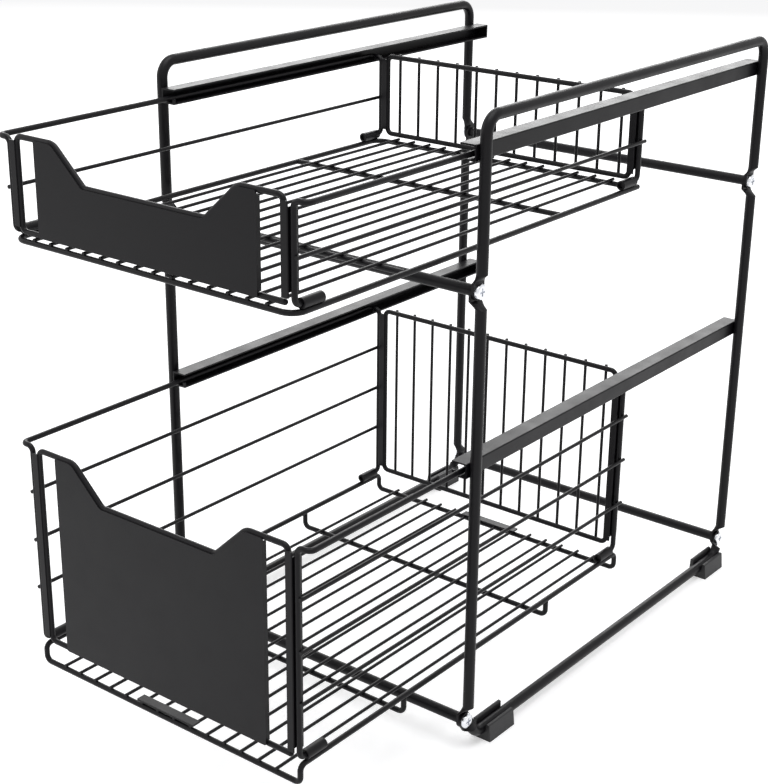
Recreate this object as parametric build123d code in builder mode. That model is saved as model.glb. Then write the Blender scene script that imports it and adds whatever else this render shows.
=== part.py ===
from build123d import *
import os

# Under sink organizer: a steel tube rack on four plastic feet, with two wire
# baskets that slide out of it to the front, each on a pair of channel rails.
# Millimetres. +X is right, +Y is to the rear, +Z is up. The origin is on the
# floor under the middle of the rack and its pulled out baskets.

# Rack: tube axes, seen from the front and from the side
rack_width = 286.0
rack_depth = 380.0
foot_bar_height = 9.0
bottom_joint_rise = 14.0
joint_spacing = 322.5
hoop_rise = 114.5
tube_diameter = 8.0
tube_wall = 0.9
hoop_bend = 12.0
foot_bar_bend = 12.0
foot_bar_end_run = 9.5

# Flattened tube ends, stacked in pairs under one screw head
lug_thickness = 2.0
lug_diameter = 12.0
lug_clearance = 0.3
lug_flare = 5.5
foot_bar_flare = 2.1
screw_clearance = 0.2

# Truss head screws and the threaded inserts that they enter
screw_diameter = 5.0
screw_length = 14.0
head_diameter = 11.0
head_height = 2.8
head_round = 1.6
recess_width = 1.3
recess_length = 5.4
recess_depth = 1.5
insert_length = 12.0
insert_clearance = 0.05

# Channel rails, open to the inside of the rack and closed at the rear
rail_height = 11.1
rail_width = 12.5
rail_sheet = 1.2
rail_fold_round = 1.0
rail_end_round = 2.0
rail_overhang = 5.0
upper_rail_drop = 28.7
lower_rail_drop = 132.2
stop_height = 3.0
stop_width = 2.2
stop_setback = 0.3

# Feet that snap on the foot bars
foot_length = 31.0
foot_front_inset = 17.0
foot_rear_inset = 7.0
foot_outer_wall = 3.1
foot_inner_wall = 2.85
foot_outer_draft = 1.3
foot_inner_draft = 0.65
foot_outer_rise = 4.5
foot_inner_rise = 6.6
foot_lip_round = 1.2
foot_clearance = 0.1

# Rods and wires of the baskets
rod_diameter = 4.0
side_wire_diameter = 2.8
floor_wire_diameter = 2.4
back_wire_diameter = 2.4
weld_depth = 0.5

# Both baskets, in plan and in the rails
basket_reach = 162.0
slide_travel = 150.0
side_front_setback = 3.5
side_rear_clearance = 3.0
slide_gap = 0.6
slide_side_play = 3.05
side_rod_gap = 2.2
base_outset = 0.5
corner_bend = 4.5

# Feet of the basket sides, and the sleeves on the floor that hold them
side_foot_bend = 4.5
sleeve_diameter = 7.2
sleeve_length = 19.0
sleeve_setback = 5.0
sleeve_clearance = 0.2
sleeve_end_gap = 2.0
sleeve_round = 0.5
sleeve_weld = 0.3

# Wires across the basket sides
side_wire_front_end = 1.5
side_wire_rear_end = 3.0
upper_wire_top_gap = 33.3
lower_wire_top_gap = 35.3
lower_wire_bottom_gap = 46.45
lower_side_wire_count = 3

# Floors of the baskets
upper_basket_clearance = 15.75
lower_basket_clearance = 17.75
floor_wire_count = 14
floor_wire_side_gap = 20.4
floor_wire_nub = 3.0
floor_wire_front_end = 1.0
upper_cross_rod_insets = (106.0, 284.0)
upper_base_corner_bend = 10.0
upper_base_rear_inset = 3.8
upper_base_tail = 3.8
lower_cross_rod_insets = (109.0, 288.0)
lower_base_setback = 1.4
lower_base_overhang = 2.2
lower_base_drop = 13.3
floor_strip_length = 54.0
floor_strip_width = 7.0
floor_strip_thickness = 1.5
floor_strip_setback = 2.0

# Front and back panels
panel_rod_offset = 0.3
panel_lift = 0.25
panel_corner_inset = 7.2
panel_end_inset = 7.3
panel_end_gap = 4.5
panel_bend = 4.5
plate_side_gap = 19.1
ear_width = 16.0
notch_slope_run = 27.0
ear_bend = 10.0
notch_bend = 6.0
upper_ear_rise = 1.95
upper_notch_depth = 24.55
lower_ear_rise = -1.05
lower_notch_depth = 25.5
plate_thickness = 1.0
plate_foot_lap = 0.8
plate_corner_round = 1.5
plate_flange = 3.8
plate_flange_gap = 0.6
back_wire_count = 12
back_wire_side_gap = 10.6
back_wire_nub = 0.3
back_wire_foot_lap = 1.0
upper_back_rise = 1.5
lower_back_rise = 0.7
lower_back_lift = 2.5

# Corner strips that clip the panels to the side rods
strip_thickness = 0.9
strip_fold_round = 0.7
strip_lap = 0.5
strip_gap = 0.3
strip_hook_reach = 3.9
strip_hook_inset = 3.5
strip_top_gap = 2.3
strip_bottom_gap = 3.5

# The most that a bend takes of its run, and an edge's round of its wall
bend_share = 0.45
round_share = 0.8

# Sizes that follow from those above
tube_radius = tube_diameter / 2
tube_bore = tube_radius - tube_wall
rod_radius = rod_diameter / 2
side_wire_radius = side_wire_diameter / 2
floor_wire_radius = floor_wire_diameter / 2
back_wire_radius = back_wire_diameter / 2
sleeve_radius = sleeve_diameter / 2
sleeve_bore = rod_radius + sleeve_clearance
weld_reach = rod_radius - weld_depth
post_x = rack_width / 2
front_y = (basket_reach - rack_depth - rail_overhang) / 2
rear_y = front_y + rack_depth
bottom_joint_height = foot_bar_height + bottom_joint_rise
middle_joint_height = bottom_joint_height + joint_spacing
hoop_height = middle_joint_height + hoop_rise
lug_straight = lug_diameter / 2 + lug_clearance
outer_lug_x = post_x - tube_radius + lug_thickness / 2
inner_lug_x = outer_lug_x - lug_thickness
crossbar_end_x = inner_lug_x - lug_thickness / 2
rail_face_x = post_x - tube_radius
rail_tip_x = rail_face_x - rail_width
rail_front_y = front_y - rail_overhang
rail_rear_y = rear_y + rail_overhang
upper_rail_height = hoop_height - upper_rail_drop
lower_rail_height = middle_joint_height - lower_rail_drop
rod_in_rail = rail_sheet + slide_gap + rod_radius
upper_top_z = upper_rail_height + rod_in_rail
lower_top_z = lower_rail_height + rod_in_rail
basket_front_y = front_y - basket_reach
side_front_y = basket_front_y + side_front_setback
side_rear_y = rail_rear_y - rail_sheet - side_rear_clearance - rod_radius - slide_travel
side_top_x = rail_face_x - rail_sheet - slide_side_play - rod_radius
side_post_x = rail_tip_x - side_rod_gap - rod_radius
base_x = side_post_x + base_outset
upper_base_z = middle_joint_height + tube_radius + upper_basket_clearance + rod_radius
upper_base_front_y = basket_front_y + rod_radius
upper_base_rear_y = side_rear_y - upper_base_rear_inset
lower_floor_z = bottom_joint_height + tube_radius + lower_basket_clearance + rod_radius
lower_base_z = lower_floor_z + lower_base_drop
lower_base_front_y = basket_front_y + rod_radius + lower_base_setback
lower_base_rear_y = side_rear_y + lower_base_overhang
floor_wire_top = rod_radius + floor_wire_diameter - weld_depth
panel_foot_rise = floor_wire_top + panel_lift + rod_radius
corner_x = side_post_x - panel_corner_inset
plate_half_width = corner_x - plate_side_gap
ear_inner = plate_half_width - ear_width
notch_half_width = ear_inner - notch_slope_run

SIDES = ((-1, "left"), (1, "right"))


def sweep_round(points, bends, outer_radius, bore_radius):
    """Add a round rod or tube along straight runs that are joined by bends."""
    with BuildLine() as route:
        if bends:
            FilletPolyline(*points, radius=bends)
        else:
            Line(*points)
    with BuildSketch(Plane(origin=route.line @ 0, z_dir=route.line % 0)) as section:
        Circle(outer_radius)
        if bore_radius > 0:
            Circle(bore_radius, mode=Mode.SUBTRACT)
    sweep(sections=section.sketch, path=route.line)


def sweep_rod(points, bends):
    """Add a basket rod; no bends for a straight one."""
    sweep_round(points, bends, rod_radius, 0)


def sweep_tube(points, bends):
    """Add a tube of the rack; no bends for a straight one."""
    sweep_round(points, bends, tube_radius, tube_bore)


def rods_along_y(places, start_y, end_y, radius):
    """Add straight rods from start_y to end_y at the given (x, z) places."""
    with BuildSketch(Plane.XZ.offset(-end_y)) as sections:
        with Locations(*places):
            Circle(radius)
    extrude(sections.sketch, amount=end_y - start_y)


def rods_along_z(places, start_z, end_z, radius):
    """Add straight rods from start_z to end_z at the given (x, y) places."""
    with BuildSketch(Plane.XY.offset(start_z)) as sections:
        with Locations(*places):
            Circle(radius)
    extrude(sections.sketch, amount=end_z - start_z)


def evenly(count, first, last):
    """Even places from the first to the last."""
    return [first + (last - first) * i / (count - 1) for i in range(count)]


def flat_end(side, joint_y, joint_z, away, flare, lug_x):
    """Add a tube's flattened end, from its screw hole along away to where it is round."""
    joint = Vector(side * lug_x, joint_y, joint_z)
    with BuildSketch(Plane(origin=joint, x_dir=away, z_dir=(1, 0, 0))) as lug:
        Circle(lug_diameter / 2)
        with Locations((lug_straight / 2, 0)):
            Rectangle(lug_straight, lug_diameter)
        Circle(screw_diameter / 2 + screw_clearance, mode=Mode.SUBTRACT)
    extrude(lug.sketch, amount=lug_thickness / 2, both=True)
    with BuildSketch(Plane(origin=joint + away * lug_straight, x_dir=(1, 0, 0), z_dir=away)) as flat:
        Rectangle(lug_thickness, lug_diameter)
    round_at = Vector(side * post_x, joint_y, joint_z) + away * (lug_straight + flare)
    with BuildSketch(Plane(origin=round_at, x_dir=(1, 0, 0), z_dir=away)) as round_section:
        Circle(tube_radius)
    loft(sections=[flat.sketch, round_section.sketch])


def finish(piece, name):
    """Name a finished piece and write it out."""
    piece.part.label = name
    export_step(piece.part, f"parts/{name}.step")


def make_hoop(side, hand):
    """Upper half of a side frame: one tube bent over the top of the rack."""
    round_z = middle_joint_height + lug_straight + lug_flare
    x = side * post_x
    with BuildPart() as hoop:
        points = [
            (x, front_y, round_z),
            (x, front_y, hoop_height),
            (x, rear_y, hoop_height),
            (x, rear_y, round_z),
        ]
        sweep_tube(points, hoop_bend)
        for y in (front_y, rear_y):
            flat_end(side, y, middle_joint_height, Vector(0, 0, 1), lug_flare, outer_lug_x)
    finish(hoop, f"{hand}_upper_hoop")


def make_post(side, hand, y, end):
    """Straight lower post with a flattened end at each joint."""
    x = side * post_x
    top_z = middle_joint_height - lug_straight - lug_flare
    bottom_z = bottom_joint_height + lug_straight + lug_flare
    with BuildPart() as post:
        sweep_tube([(x, y, bottom_z), (x, y, top_z)], None)
        flat_end(side, y, middle_joint_height, Vector(0, 0, -1), lug_flare, inner_lug_x)
        flat_end(side, y, bottom_joint_height, Vector(0, 0, 1), lug_flare, inner_lug_x)
    finish(post, f"{hand}_{end}_post")


def make_foot_bar(side, hand):
    """Bottom bar of a side frame, whose ends slant up to the bottom joints."""
    x = side * post_x
    round_reach = lug_straight + foot_bar_flare
    with BuildPart() as bar:
        ends = []
        corners = []
        for joint_y, inward in ((front_y, 1), (rear_y, -1)):
            away = Vector(0, inward * foot_bar_end_run, -bottom_joint_rise).normalized()
            flat_end(side, joint_y, bottom_joint_height, away, foot_bar_flare, outer_lug_x)
            ends.append(Vector(x, joint_y, bottom_joint_height) + away * round_reach)
            corners.append(Vector(x, joint_y + inward * foot_bar_end_run, foot_bar_height))
        sweep_tube([ends[0], *corners, ends[1]], foot_bar_bend)
    finish(bar, f"{hand}_foot_bar")


def make_crossbar(y, z, name):
    """Tube between the left and right side frames, open at both ends."""
    with BuildPart() as crossbar:
        sweep_tube([(-crossbar_end_x, y, z), (crossbar_end_x, y, z)], None)
    finish(crossbar, name)


def make_inserts(z, name):
    """Threaded inserts in the ends of the two crossbars of one level."""
    with BuildPart() as inserts:
        for y in (front_y, rear_y):
            for start_x in (-crossbar_end_x, crossbar_end_x - insert_length):
                with BuildSketch(Plane.YZ.offset(start_x)) as section:
                    with Locations((y, z)):
                        Circle(tube_bore - insert_clearance)
                        Circle(screw_diameter / 2 + insert_clearance, mode=Mode.SUBTRACT)
                extrude(section.sketch, amount=insert_length)
    finish(inserts, name)


def one_screw():
    """A truss head screw that stands on its point, seated on the XY plane."""
    with BuildPart() as screw:
        with BuildSketch() as head:
            Circle(head_diameter / 2)
        extrude(head.sketch, amount=head_height)
        rim = screw.edges().sort_by(Axis.Z)[-1]
        fillet(rim, min(head_round, round_share * head_height))
        with BuildSketch() as shank:
            Circle(screw_diameter / 2)
        extrude(shank.sketch, amount=-screw_length)
        with BuildSketch(Plane.XY.offset(head_height)) as recess:
            Rectangle(recess_length, recess_width)
            Rectangle(recess_width, recess_length)
        extrude(recess.sketch, amount=-recess_depth, mode=Mode.SUBTRACT)
    return screw.part


def make_screws(z, name):
    """Screws of one level, driven in from both sides."""
    seat_x = outer_lug_x + lug_thickness / 2
    screw = one_screw()
    with BuildPart() as screws:
        for side in (-1, 1):
            for y in (front_y, rear_y):
                with Locations(Plane(origin=(side * seat_x, y, z), x_dir=(0, 1, 0), z_dir=(side, 0, 0))):
                    add(screw)
    finish(screws, name)


def draw_rail(side, bottom_z):
    """Draw a rail's outer section, with the folds of its web rounded."""
    with Locations((side * (rail_face_x + rail_tip_x) / 2, bottom_z + rail_height / 2)):
        outline = Rectangle(rail_width, rail_height)
    fillet(outline.vertices().group_by(Axis.X)[-1 if side > 0 else 0], rail_fold_round)


def make_rail(side, hand, bottom_z, level):
    """Channel rail, open to the inside, with stop tabs and a closed rear end."""
    flange_top = bottom_z + rail_sheet
    hollow_width = rail_width - rail_sheet
    stop_rear_y = side_rear_y - rod_radius - stop_setback
    rear_end = Plane.XZ.offset(-rail_rear_y)
    with BuildPart() as rail:
        with BuildSketch(rear_end) as profile:
            draw_rail(side, bottom_z)
            with Locations((side * (rail_tip_x + hollow_width / 2), bottom_z + rail_height / 2)):
                Rectangle(hollow_width, rail_height - 2 * rail_sheet, mode=Mode.SUBTRACT)
        extrude(profile.sketch, amount=rail_rear_y - rail_front_y)
        with BuildSketch(rear_end) as end_plate:
            draw_rail(side, bottom_z)
            tips = end_plate.vertices().group_by(Axis.X)[0 if side > 0 else -1]
            fillet(tips.sort_by(Axis.Y)[0], rail_end_round)
        extrude(end_plate.sketch, amount=rail_sheet)
        for stop_y in (rail_front_y + stop_setback, stop_rear_y - rail_sheet):
            with BuildSketch(Plane.XY.offset(flange_top)) as stop:
                with Locations((side * (rail_tip_x + stop_width / 2), stop_y + rail_sheet / 2)):
                    Rectangle(stop_width, rail_sheet)
            extrude(stop.sketch, amount=stop_height)
    finish(rail, f"{hand}_{level}_rail")


def make_foot(side, hand, start_y, end):
    """Plastic foot: a U channel that snaps up round the foot bar."""
    channel = tube_radius + foot_clearance
    outer_top_x = channel + foot_outer_wall
    outer_bottom_x = outer_top_x + foot_outer_draft
    inner_top_x = channel + foot_inner_wall
    inner_bottom_x = inner_top_x + foot_inner_draft
    outer_top_z = foot_bar_height + foot_outer_rise
    inner_top_z = foot_bar_height + foot_inner_rise
    middle = Plane(
        origin=(side * post_x, start_y + foot_length / 2, 0),
        x_dir=(side, 0, 0),
        z_dir=(0, -side, 0),
    )
    with BuildPart() as foot:
        with BuildSketch(middle) as profile:
            with BuildLine():
                Polyline(
                    (outer_bottom_x, 0),
                    (outer_top_x, outer_top_z),
                    (channel, outer_top_z),
                    (channel, foot_bar_height),
                )
                ThreePointArc(
                    (channel, foot_bar_height),
                    (0, foot_bar_height - channel),
                    (-channel, foot_bar_height),
                )
                Polyline(
                    (-channel, foot_bar_height),
                    (-channel, inner_top_z),
                    (-inner_top_x, inner_top_z),
                    (-inner_bottom_x, 0),
                    (outer_bottom_x, 0),
                )
            make_face()
        extrude(profile.sketch, amount=foot_length / 2, both=True)
        lips = foot.edges().filter_by(Axis.Y).filter_by_position(Axis.Z, outer_top_z, inner_top_z)
        thinner_wall = min(foot_outer_wall, foot_inner_wall)
        fillet(lips, min(foot_lip_round, bend_share * thinner_wall))
    finish(foot, f"{hand}_{end}_foot")


def sleeve_height(base_z):
    """Axis height of the sleeves that are welded on top of the base rods."""
    reach = rod_radius + sleeve_radius - sleeve_weld
    return base_z + (reach**2 - base_outset**2) ** 0.5


def one_sleeve():
    """A sleeve whose rear end is at the origin, with the rims of its ends rounded."""
    rim_round = min(sleeve_round, round_share * (sleeve_radius - sleeve_bore))
    with BuildPart() as sleeve:
        with BuildSketch(Plane.XZ) as section:
            Circle(sleeve_radius)
        extrude(section.sketch, amount=sleeve_length)
        fillet(sleeve.edges().filter_by(GeomType.CIRCLE), rim_round)
        with BuildSketch(Plane.XZ) as bore:
            Circle(sleeve_bore)
        extrude(bore.sketch, amount=sleeve_length, mode=Mode.SUBTRACT)
    return sleeve.part


def add_sleeves(sleeve, base_z):
    """Add the four sleeves that hold the feet of the basket sides."""
    for side in (-1, 1):
        for end_y in (side_front_y + sleeve_setback + sleeve_length, side_rear_y - sleeve_setback):
            with Locations((side * side_post_x, end_y, sleeve_height(base_z))):
                add(sleeve)


def add_floor_wires(floor_z, front_rod_y, rear_rod_y):
    """Add the wires that lie on a floor's front, cross and rear rods."""
    wire_z = floor_z + rod_radius + floor_wire_radius - weld_depth
    last_x = base_x - floor_wire_side_gap
    rods_along_y(
        [(x, wire_z) for x in evenly(floor_wire_count, -last_x, last_x)],
        front_rod_y - floor_wire_front_end,
        rear_rod_y + floor_wire_nub,
        floor_wire_radius,
    )


def make_upper_base():
    """Floor of the upper basket: one rod bent round it, cross rods, wires and sleeves."""
    z = upper_base_z
    rod_end_x = base_x - weld_reach
    tail_y = upper_base_rear_y + upper_base_tail
    sleeve = one_sleeve()
    with BuildPart() as base:
        points = [
            (base_x, tail_y, z),
            (base_x, upper_base_front_y, z),
            (-base_x, upper_base_front_y, z),
            (-base_x, upper_base_rear_y, z),
            (0, upper_base_rear_y, z),
        ]
        sweep_rod(points, upper_base_corner_bend)
        sweep_rod([(0, upper_base_rear_y, z), (rod_end_x, upper_base_rear_y, z)], None)
        with Locations((base_x, tail_y, z)):
            Sphere(rod_radius)
        for inset in upper_cross_rod_insets:
            y = upper_base_front_y + inset
            sweep_rod([(-rod_end_x, y, z), (rod_end_x, y, z)], None)
        add_floor_wires(z, upper_base_front_y, upper_base_rear_y)
        add_sleeves(sleeve, z)
    finish(base, "upper_basket_base")


def make_lower_base():
    """Floor of the lower basket, which hangs below the side rods of its base."""
    floor_z = lower_floor_z
    side_z = lower_base_z
    drop_bend = min(corner_bend, bend_share * lower_base_drop)
    sleeve = one_sleeve()
    with BuildPart() as base:
        points = [
            (0, lower_base_front_y, floor_z),
            (base_x, lower_base_front_y, floor_z),
            (base_x, lower_base_front_y, side_z),
            (base_x, lower_base_rear_y, side_z),
            (base_x, lower_base_rear_y, floor_z),
            (0, lower_base_rear_y, floor_z),
        ]
        sweep_rod(points, drop_bend)
        for inset in lower_cross_rod_insets:
            y = lower_base_front_y + inset
            points = [(0, y, floor_z), (base_x, y, floor_z), (base_x, y, side_z - weld_reach)]
            sweep_rod(points, drop_bend)
        mirror(about=Plane.YZ)
        add_floor_wires(floor_z, lower_base_front_y, lower_base_rear_y)
        add_sleeves(sleeve, side_z)
    finish(base, "lower_basket_base")


def make_side(side, hand, level, top_z, base_z, wire_heights):
    """Side of a basket: one rod that slides in the rail, and the wires across it."""
    foot_z = sleeve_height(base_z)
    low_x = side * side_post_x
    top_x = side * side_top_x
    tail = sleeve_setback + sleeve_length - sleeve_end_gap
    crank_bend = min(corner_bend, bend_share * (side_top_x - side_post_x))
    with BuildPart() as panel:
        points = [
            (low_x, side_front_y + tail, foot_z),
            (low_x, side_front_y, foot_z),
            (low_x, side_front_y, top_z),
            (top_x, side_front_y, top_z),
            (top_x, side_rear_y, top_z),
            (low_x, side_rear_y, top_z),
            (low_x, side_rear_y, foot_z),
            (low_x, side_rear_y - tail, foot_z),
        ]
        bends = [side_foot_bend] + [crank_bend] * 4 + [side_foot_bend]
        sweep_rod(points, bends)
        wire_x = low_x + side * (rod_radius + side_wire_radius - weld_depth)
        rods_along_y(
            [(wire_x, z) for z in wire_heights],
            side_front_y - side_wire_front_end,
            side_rear_y + side_wire_rear_end,
            side_wire_radius,
        )
    finish(panel, f"{level}_basket_{hand}_side")


def make_front_frame(level, foot_z, ear_z, notch_z):
    """Bent rod round the front plate, with a notch for the hand at the top."""
    y = side_front_y - panel_rod_offset
    start = (side_post_x - panel_end_inset, y, foot_z)
    with BuildPart() as frame:
        points = [
            start,
            (-corner_x, y, foot_z),
            (-corner_x, y, ear_z),
            (-ear_inner, y, ear_z),
            (-notch_half_width, y, notch_z),
            (notch_half_width, y, notch_z),
            (ear_inner, y, ear_z),
            (corner_x, y, ear_z),
            (corner_x, y, foot_z + panel_end_gap),
        ]
        bends = [panel_bend, panel_bend, ear_bend, notch_bend, notch_bend, ear_bend, panel_bend]
        sweep_rod(points, bends)
        with Locations(start):
            Sphere(rod_radius)
    finish(frame, f"{level}_basket_front_frame")


def make_plate(level, foot_z, ear_z, notch_z):
    """Sheet metal front plate with folded sides, welded to the front frame."""
    back_y = side_front_y - panel_rod_offset - rod_radius
    bottom_z = foot_z - plate_foot_lap
    with BuildPart() as plate:
        with BuildSketch(Plane.XZ.offset(-back_y)) as outline:
            with BuildLine():
                FilletPolyline(
                    (-plate_half_width, bottom_z),
                    (-plate_half_width, ear_z),
                    (-ear_inner, ear_z),
                    (-notch_half_width, notch_z),
                    (notch_half_width, notch_z),
                    (ear_inner, ear_z),
                    (plate_half_width, ear_z),
                    (plate_half_width, bottom_z),
                    radius=[
                        plate_corner_round,
                        plate_corner_round,
                        ear_bend,
                        notch_bend,
                        notch_bend,
                        ear_bend,
                        plate_corner_round,
                        plate_corner_round,
                    ],
                    close=True,
                )
            make_face()
        extrude(outline.sketch, amount=plate_thickness)
        flange_start = foot_z + rod_radius + plate_flange_gap
        flange_end = ear_z - rod_radius - plate_flange_gap
        with BuildSketch(Plane.XY.offset(flange_start)) as flanges:
            for side in (-1, 1):
                x = side * (plate_half_width - plate_thickness / 2)
                with Locations((x, back_y + plate_flange / 2 - plate_thickness)):
                    Rectangle(plate_thickness, plate_flange)
        extrude(flanges.sketch, amount=flange_end - flange_start)
    finish(plate, f"{level}_basket_front_plate")


def make_back_panel(level, foot_z, top_z):
    """Back of a basket: a closed ring of rod with upright wires welded behind it."""
    y = side_rear_y - panel_rod_offset
    with BuildPart() as panel:
        points = [(0, y, foot_z), (corner_x, y, foot_z), (corner_x, y, top_z), (0, y, top_z)]
        sweep_rod(points, panel_bend)
        mirror(about=Plane.YZ)
        wire_y = y + rod_radius + back_wire_radius - weld_depth
        last_x = corner_x - back_wire_side_gap
        rods_along_z(
            [(x, wire_y) for x in evenly(back_wire_count, -last_x, last_x)],
            foot_z - back_wire_foot_lap,
            top_z + rod_radius + back_wire_nub,
            back_wire_radius,
        )
    finish(panel, f"{level}_basket_back_panel")


def make_corner_strip(side, hand, end, level, foot_z, top_z):
    """Folded strip: flange on the panel rod's front, web, and hook behind the side rod."""
    side_rod_y = side_front_y if end == "front" else side_rear_y
    flange_back_y = side_rod_y - panel_rod_offset - rod_radius
    hook_y = side_rod_y + rod_radius + strip_gap
    web_x = side_post_x - rod_radius - strip_gap
    web_inner_x = web_x - strip_thickness
    flange_inner_x = corner_x - strip_lap
    bottom_z = foot_z + strip_bottom_gap
    height = top_z - strip_top_gap - bottom_z
    fold_round = min(strip_fold_round, round_share * strip_thickness)
    with BuildPart() as strip:
        with BuildSketch(Plane.XY.offset(bottom_z)) as flange:
            with Locations((side * (flange_inner_x + web_x) / 2, flange_back_y - strip_thickness / 2)):
                Rectangle(web_x - flange_inner_x, strip_thickness)
            front_corners = flange.vertices().group_by(Axis.Y)[0]
            fillet(front_corners.sort_by(Axis.X)[-1 if side > 0 else 0], fold_round)
        extrude(flange.sketch, amount=height)
        with BuildSketch(Plane.XY.offset(bottom_z + strip_hook_inset)) as fold:
            with BuildLine():
                Polyline(
                    (side * web_x, flange_back_y),
                    (side * web_x, hook_y),
                    (side * (web_inner_x + strip_hook_reach), hook_y),
                    (side * (web_inner_x + strip_hook_reach), hook_y + strip_thickness),
                    (side * web_inner_x, hook_y + strip_thickness),
                    (side * web_inner_x, flange_back_y),
                    close=True,
                )
            make_face()
        extrude(fold.sketch, amount=height - 2 * strip_hook_inset)
    finish(strip, f"{level}_basket_{end}_{hand}_strip")


def make_floor_strip(rod_y, end):
    """Flat strip welded across the lower floor's wires over an end rod."""
    with BuildPart() as strip:
        with BuildSketch(Plane.XY.offset(lower_floor_z + floor_wire_top)) as section:
            with Locations((0, rod_y)):
                Rectangle(floor_strip_length, floor_strip_width)
        extrude(section.sketch, amount=floor_strip_thickness)
    finish(strip, f"lower_basket_{end}_floor_strip")


def make_walls(level, top_z, base_z, wire_heights, ear_rise, notch_depth, back_rise, back_lift):
    """The upright pieces of one basket, whose sides slide in the rails at top_z."""
    foot_z = base_z + panel_foot_rise
    ear_z = top_z + ear_rise
    back_foot_z = foot_z + back_lift
    back_top_z = top_z + back_rise
    make_front_frame(level, foot_z, ear_z, ear_z - notch_depth)
    make_plate(level, foot_z, ear_z, ear_z - notch_depth)
    make_back_panel(level, back_foot_z, back_top_z)
    for side, hand in SIDES:
        make_side(side, hand, level, top_z, base_z, wire_heights)
        make_corner_strip(side, hand, "front", level, foot_z, ear_z)
        make_corner_strip(side, hand, "rear", level, back_foot_z, back_top_z)


os.makedirs("parts", exist_ok=True)

for side, hand in SIDES:
    make_hoop(side, hand)
    make_foot_bar(side, hand)
    for y, end in ((front_y, "front"), (rear_y, "rear")):
        make_post(side, hand, y, end)
    make_rail(side, hand, upper_rail_height, "upper")
    make_rail(side, hand, lower_rail_height, "lower")
    make_foot(side, hand, front_y + foot_front_inset, "front")
    make_foot(side, hand, rear_y - foot_rear_inset - foot_length, "rear")

for z, level in ((middle_joint_height, "middle"), (bottom_joint_height, "bottom")):
    make_crossbar(front_y, z, f"front_{level}_crossbar")
    make_crossbar(rear_y, z, f"rear_{level}_crossbar")
    make_inserts(z, f"{level}_inserts")
    make_screws(z, f"{level}_screws")

make_upper_base()
make_walls(
    "upper",
    upper_top_z,
    upper_base_z,
    [upper_top_z - upper_wire_top_gap],
    upper_ear_rise,
    upper_notch_depth,
    upper_back_rise,
    0,
)

make_lower_base()
make_walls(
    "lower",
    lower_top_z,
    lower_base_z,
    evenly(
        lower_side_wire_count,
        lower_top_z - lower_wire_top_gap,
        lower_base_z + lower_wire_bottom_gap,
    ),
    lower_ear_rise,
    lower_notch_depth,
    lower_back_rise,
    lower_back_lift,
)
make_floor_strip(lower_base_front_y + floor_strip_setback, "front")
make_floor_strip(lower_base_rear_y - floor_strip_setback, "rear")
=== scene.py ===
import math

import bpy
from mathutils import Matrix, Vector

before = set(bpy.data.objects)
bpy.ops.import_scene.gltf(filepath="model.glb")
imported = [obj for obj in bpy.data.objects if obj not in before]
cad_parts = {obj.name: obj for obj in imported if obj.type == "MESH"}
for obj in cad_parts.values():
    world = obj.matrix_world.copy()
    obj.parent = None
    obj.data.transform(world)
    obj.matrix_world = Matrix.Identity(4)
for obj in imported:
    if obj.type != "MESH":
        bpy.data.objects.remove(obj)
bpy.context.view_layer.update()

MM = 0.001

# The photograph's view, whose long side is its height
IMAGE_LONG_SIDE_PX = 784
FOCAL_LENGTH_PX = 1661.9
SENSOR_MM = 36.0
CLIP_NEAR = 0.01
CLIP_FAR = 20.0
CAMERA_AT = Vector((0.72616, -0.95332, 0.67713))
CAMERA_AZIMUTH = math.radians(38.202)
CAMERA_DOWN = math.radians(21.439)
CAMERA_ROLL = math.radians(0.566)

# The part of its range that a noise mostly stays in
NOISE_LOW = 0.3
NOISE_HIGH = 0.7

# Studio
FLOOR_HALF_SIZE = 4.0
FLOOR_COLOUR = "#F2F2F3"
FLOOR_GLOW = 0.40
WORLD_WHITE = 1.0
WORLD_FILL = 0.55
SOFTBOXES = (
    # name, watts, size (m), place (m), aimed at (m)
    ("top_softbox", 26.0, (1.6, 1.6), (0.2, -0.2, 2.2), (0.0, 0.0, 0.2)),
    ("rear_softbox", 40.0, (2.4, 1.2), (-1.6, 2.3, 1.5), (0.0, 0.1, 0.4)),
    ("left_softbox", 6.0, (1.2, 1.6), (-2.0, -1.2, 1.2), (0.0, 0.0, 0.2)),
)


def linear(hex_colour):
    """An sRGB hex colour as linear red, green, blue and alpha."""
    values = [int(hex_colour[i : i + 2], 16) / 255 for i in (1, 3, 5)]
    return [v / 12.92 if v <= 0.04045 else ((v + 0.055) / 1.055) ** 2.4 for v in values] + [1.0]


def add_node(tree, kind, values=None, links=None, **properties):
    """Add a shader node with its properties, input values and links into it."""
    node = tree.nodes.new(kind)
    for name, value in properties.items():
        setattr(node, name, value)
    for name, value in (values or {}).items():
        node.inputs[name].default_value = value
    for name, source in (links or {}).items():
        tree.links.new(source, node.inputs[name])
    return node


def start_material(name):
    """An empty material and its node tree."""
    material = bpy.data.materials.new(name)
    material.use_nodes = True
    material.node_tree.nodes.clear()
    return material, material.node_tree


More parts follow.
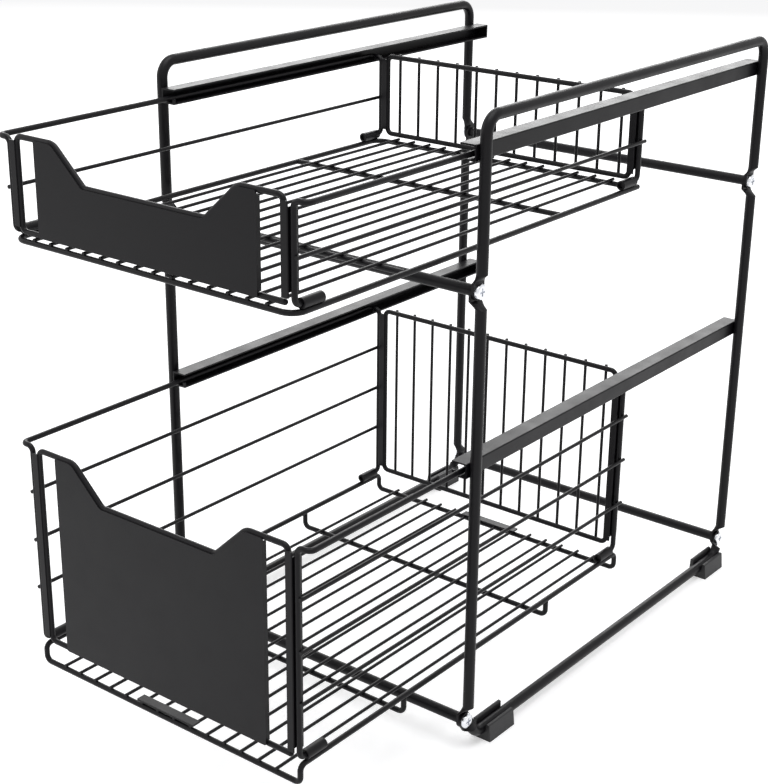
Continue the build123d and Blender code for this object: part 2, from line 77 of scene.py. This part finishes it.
def powder_coat():
    """Black polyester powder coat, baked on steel: satin, with a fine orange peel
    that breaks up long highlights, and patches that are a little duller. Its fine
    texture mirrors less than a smooth coat, so that broad plates stay near black."""
    peel_mm = 1.1
    patch_mm = 22.0
    peel_depth_mm = 0.012
    material, tree = start_material("black_powder_coat")
    place = add_node(tree, "ShaderNodeTexCoord").outputs["Object"]
    peel = add_node(
        tree,
        "ShaderNodeTexNoise",
        values={"Scale": 1 / (peel_mm * MM), "Detail": 2.0, "Roughness": 0.5},
        links={"Vector": place},
    )
    patches = add_node(
        tree,
        "ShaderNodeTexNoise",
        values={"Scale": 1 / (patch_mm * MM), "Detail": 3.0, "Roughness": 0.6},
        links={"Vector": place},
    )
    colour = add_node(
        tree,
        "ShaderNodeMix",
        data_type="RGBA",
        links={"Factor": patches.outputs["Fac"]},
    )
    colour.inputs["A"].default_value = linear("#0B0A0D")
    colour.inputs["B"].default_value = linear("#100F12")
    roughness = add_node(
        tree,
        "ShaderNodeMapRange",
        values={"From Min": NOISE_LOW, "From Max": NOISE_HIGH, "To Min": 0.34, "To Max": 0.44},
        links={"Value": patches.outputs["Fac"]},
    )
    bump = add_node(
        tree,
        "ShaderNodeBump",
        values={"Strength": 0.5, "Distance": peel_depth_mm * MM},
        links={"Height": peel.outputs["Fac"]},
    )
    surface = add_node(
        tree,
        "ShaderNodeBsdfPrincipled",
        values={"IOR": 1.5, "Specular IOR Level": 0.18, "Metallic": 0.0},
        links={
            "Base Color": colour.outputs["Result"],
            "Roughness": roughness.outputs["Result"],
            "Normal": bump.outputs["Normal"],
        },
    )
    add_node(tree, "ShaderNodeOutputMaterial", links={"Surface": surface.outputs["BSDF"]})
    return material


def moulded_plastic():
    """Black moulded polypropylene of the feet: matt, with the fine spark grain of
    the mould, so that the feet look softer and duller than the steel."""
    grain_mm = 0.35
    grain_depth_mm = 0.02
    material, tree = start_material("moulded_black_plastic")
    place = add_node(tree, "ShaderNodeTexCoord").outputs["Object"]
    grain = add_node(
        tree,
        "ShaderNodeTexNoise",
        values={"Scale": 1 / (grain_mm * MM), "Detail": 3.0, "Roughness": 0.6},
        links={"Vector": place},
    )
    roughness = add_node(
        tree,
        "ShaderNodeMapRange",
        values={"From Min": NOISE_LOW, "From Max": NOISE_HIGH, "To Min": 0.5, "To Max": 0.62},
        links={"Value": grain.outputs["Fac"]},
    )
    bump = add_node(
        tree,
        "ShaderNodeBump",
        values={"Strength": 0.6, "Distance": grain_depth_mm * MM},
        links={"Height": grain.outputs["Fac"]},
    )
    surface = add_node(
        tree,
        "ShaderNodeBsdfPrincipled",
        values={"IOR": 1.49, "Metallic": 0.0, "Base Color": linear("#161618")},
        links={"Roughness": roughness.outputs["Result"], "Normal": bump.outputs["Normal"]},
    )
    add_node(tree, "ShaderNodeOutputMaterial", links={"Surface": surface.outputs["BSDF"]})
    return material


def bare_metal(name, colour, low_roughness, high_roughness, mark_mm):
    """Bare metal with fine marks of mark_mm in its polish. Zinc plating is bright, so
    the screw heads stand out as pale discs; turned steel is a little duller."""
    mark_depth_mm = 0.004
    material, tree = start_material(name)
    place = add_node(tree, "ShaderNodeTexCoord").outputs["Object"]
    marks = add_node(
        tree,
        "ShaderNodeTexNoise",
        values={"Scale": 1 / (mark_mm * MM), "Detail": 4.0, "Roughness": 0.6},
        links={"Vector": place},
    )
    roughness = add_node(
        tree,
        "ShaderNodeMapRange",
        values={
            "From Min": NOISE_LOW,
            "From Max": NOISE_HIGH,
            "To Min": low_roughness,
            "To Max": high_roughness,
        },
        links={"Value": marks.outputs["Fac"]},
    )
    bump = add_node(
        tree,
        "ShaderNodeBump",
        values={"Strength": 0.4, "Distance": mark_depth_mm * MM},
        links={"Height": marks.outputs["Fac"]},
    )
    surface = add_node(
        tree,
        "ShaderNodeBsdfPrincipled",
        values={"Metallic": 1.0, "Base Color": linear(colour)},
        links={"Roughness": roughness.outputs["Result"], "Normal": bump.outputs["Normal"]},
    )
    add_node(tree, "ShaderNodeOutputMaterial", links={"Surface": surface.outputs["BSDF"]})
    return material


def add_camera():
    """The camera at the place that the photograph was taken from."""
    camera = bpy.data.cameras.new("photo_camera")
    camera.sensor_width = SENSOR_MM
    camera.lens = FOCAL_LENGTH_PX / IMAGE_LONG_SIDE_PX * SENSOR_MM
    camera.clip_start = CLIP_NEAR
    camera.clip_end = CLIP_FAR
    holder = bpy.data.objects.new("photo_camera", camera)
    turn = (
        Matrix.Rotation(CAMERA_AZIMUTH, 4, "Z")
        @ Matrix.Rotation(math.pi / 2 - CAMERA_DOWN, 4, "X")
        @ Matrix.Rotation(CAMERA_ROLL, 4, "Z")
    )
    holder.matrix_world = Matrix.Translation(CAMERA_AT) @ turn
    bpy.context.scene.collection.objects.link(holder)
    bpy.context.scene.camera = holder


def add_floor():
    """A wide white floor that keeps a soft shadow and otherwise shows white."""
    half = FLOOR_HALF_SIZE
    corners = [(-half, -half, 0), (half, -half, 0), (half, half, 0), (-half, half, 0)]
    mesh = bpy.data.meshes.new("floor")
    mesh.from_pydata(corners, [], [(0, 1, 2, 3)])
    floor = bpy.data.objects.new("floor", mesh)
    bpy.context.scene.collection.objects.link(floor)
    material, tree = start_material("white_paper_floor")
    path = add_node(tree, "ShaderNodeLightPath")
    seen = add_node(
        tree,
        "ShaderNodeMath",
        operation="MAXIMUM",
        links={0: path.outputs["Is Camera Ray"], 1: path.outputs["Is Glossy Ray"]},
    )
    glow_strength = add_node(
        tree,
        "ShaderNodeMath",
        operation="MULTIPLY",
        values={1: FLOOR_GLOW},
        links={0: seen.outputs["Value"]},
    )
    glow = add_node(tree, "ShaderNodeEmission", links={"Strength": glow_strength.outputs["Value"]})
    paper = add_node(tree, "ShaderNodeBsdfDiffuse", values={"Color": linear(FLOOR_COLOUR)})
    both = add_node(
        tree,
        "ShaderNodeAddShader",
        links={0: paper.outputs["BSDF"], 1: glow.outputs["Emission"]},
    )
    add_node(tree, "ShaderNodeOutputMaterial", links={"Surface": both.outputs["Shader"]})
    mesh.materials.append(material)


def add_world():
    """White wherever the camera or a reflection sees it, and a plain fill otherwise."""
    world = bpy.data.worlds.new("studio")
    world.use_nodes = True
    tree = world.node_tree
    tree.nodes.clear()
    path = add_node(tree, "ShaderNodeLightPath")
    mirrored = add_node(
        tree,
        "ShaderNodeMath",
        operation="MAXIMUM",
        links={0: path.outputs["Is Glossy Ray"], 1: path.outputs["Is Transmission Ray"]},
    )
    seen = add_node(
        tree,
        "ShaderNodeMath",
        operation="MAXIMUM",
        links={0: path.outputs["Is Camera Ray"], 1: mirrored.outputs["Value"]},
    )
    strength = add_node(
        tree,
        "ShaderNodeMapRange",
        values={"To Min": WORLD_FILL, "To Max": WORLD_WHITE},
        links={"Value": seen.outputs["Value"]},
    )
    background = add_node(
        tree,
        "ShaderNodeBackground",
        values={"Color": (1, 1, 1, 1)},
        links={"Strength": strength.outputs["Result"]},
    )
    add_node(tree, "ShaderNodeOutputWorld", links={"Surface": background.outputs["Background"]})
    bpy.context.scene.world = world


def add_softbox(name, watts, size, place, target):
    """A rectangular lamp that faces its target."""
    lamp = bpy.data.lights.new(name, "AREA")
    lamp.shape = "RECTANGLE"
    lamp.size, lamp.size_y = size
    lamp.energy = watts
    holder = bpy.data.objects.new(name, lamp)
    holder.location = place
    aim = Vector(target) - Vector(place)
    holder.rotation_euler = aim.to_track_quat("-Z", "Y").to_euler()
    bpy.context.scene.collection.objects.link(holder)


add_camera()
add_floor()
add_world()
for softbox in SOFTBOXES:
    add_softbox(*softbox)

coat = powder_coat()
plastic = moulded_plastic()
zinc = bare_metal(
    "bright_zinc_plating", "#E4E6EA", low_roughness=0.16, high_roughness=0.26, mark_mm=0.6
)
steel = bare_metal("turned_steel", "#C4C4C4", low_roughness=0.26, high_roughness=0.4, mark_mm=0.3)
for name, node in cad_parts.items():
    if name.endswith("_foot"):
        finish = plastic
    elif name.endswith("_screws"):
        finish = zinc
    elif name.endswith("_inserts"):
        finish = steel
    else:
        finish = coat
    node.data.materials.clear()
    node.data.materials.append(finish)

bpy.context.scene.view_settings.view_transform = "Standard"
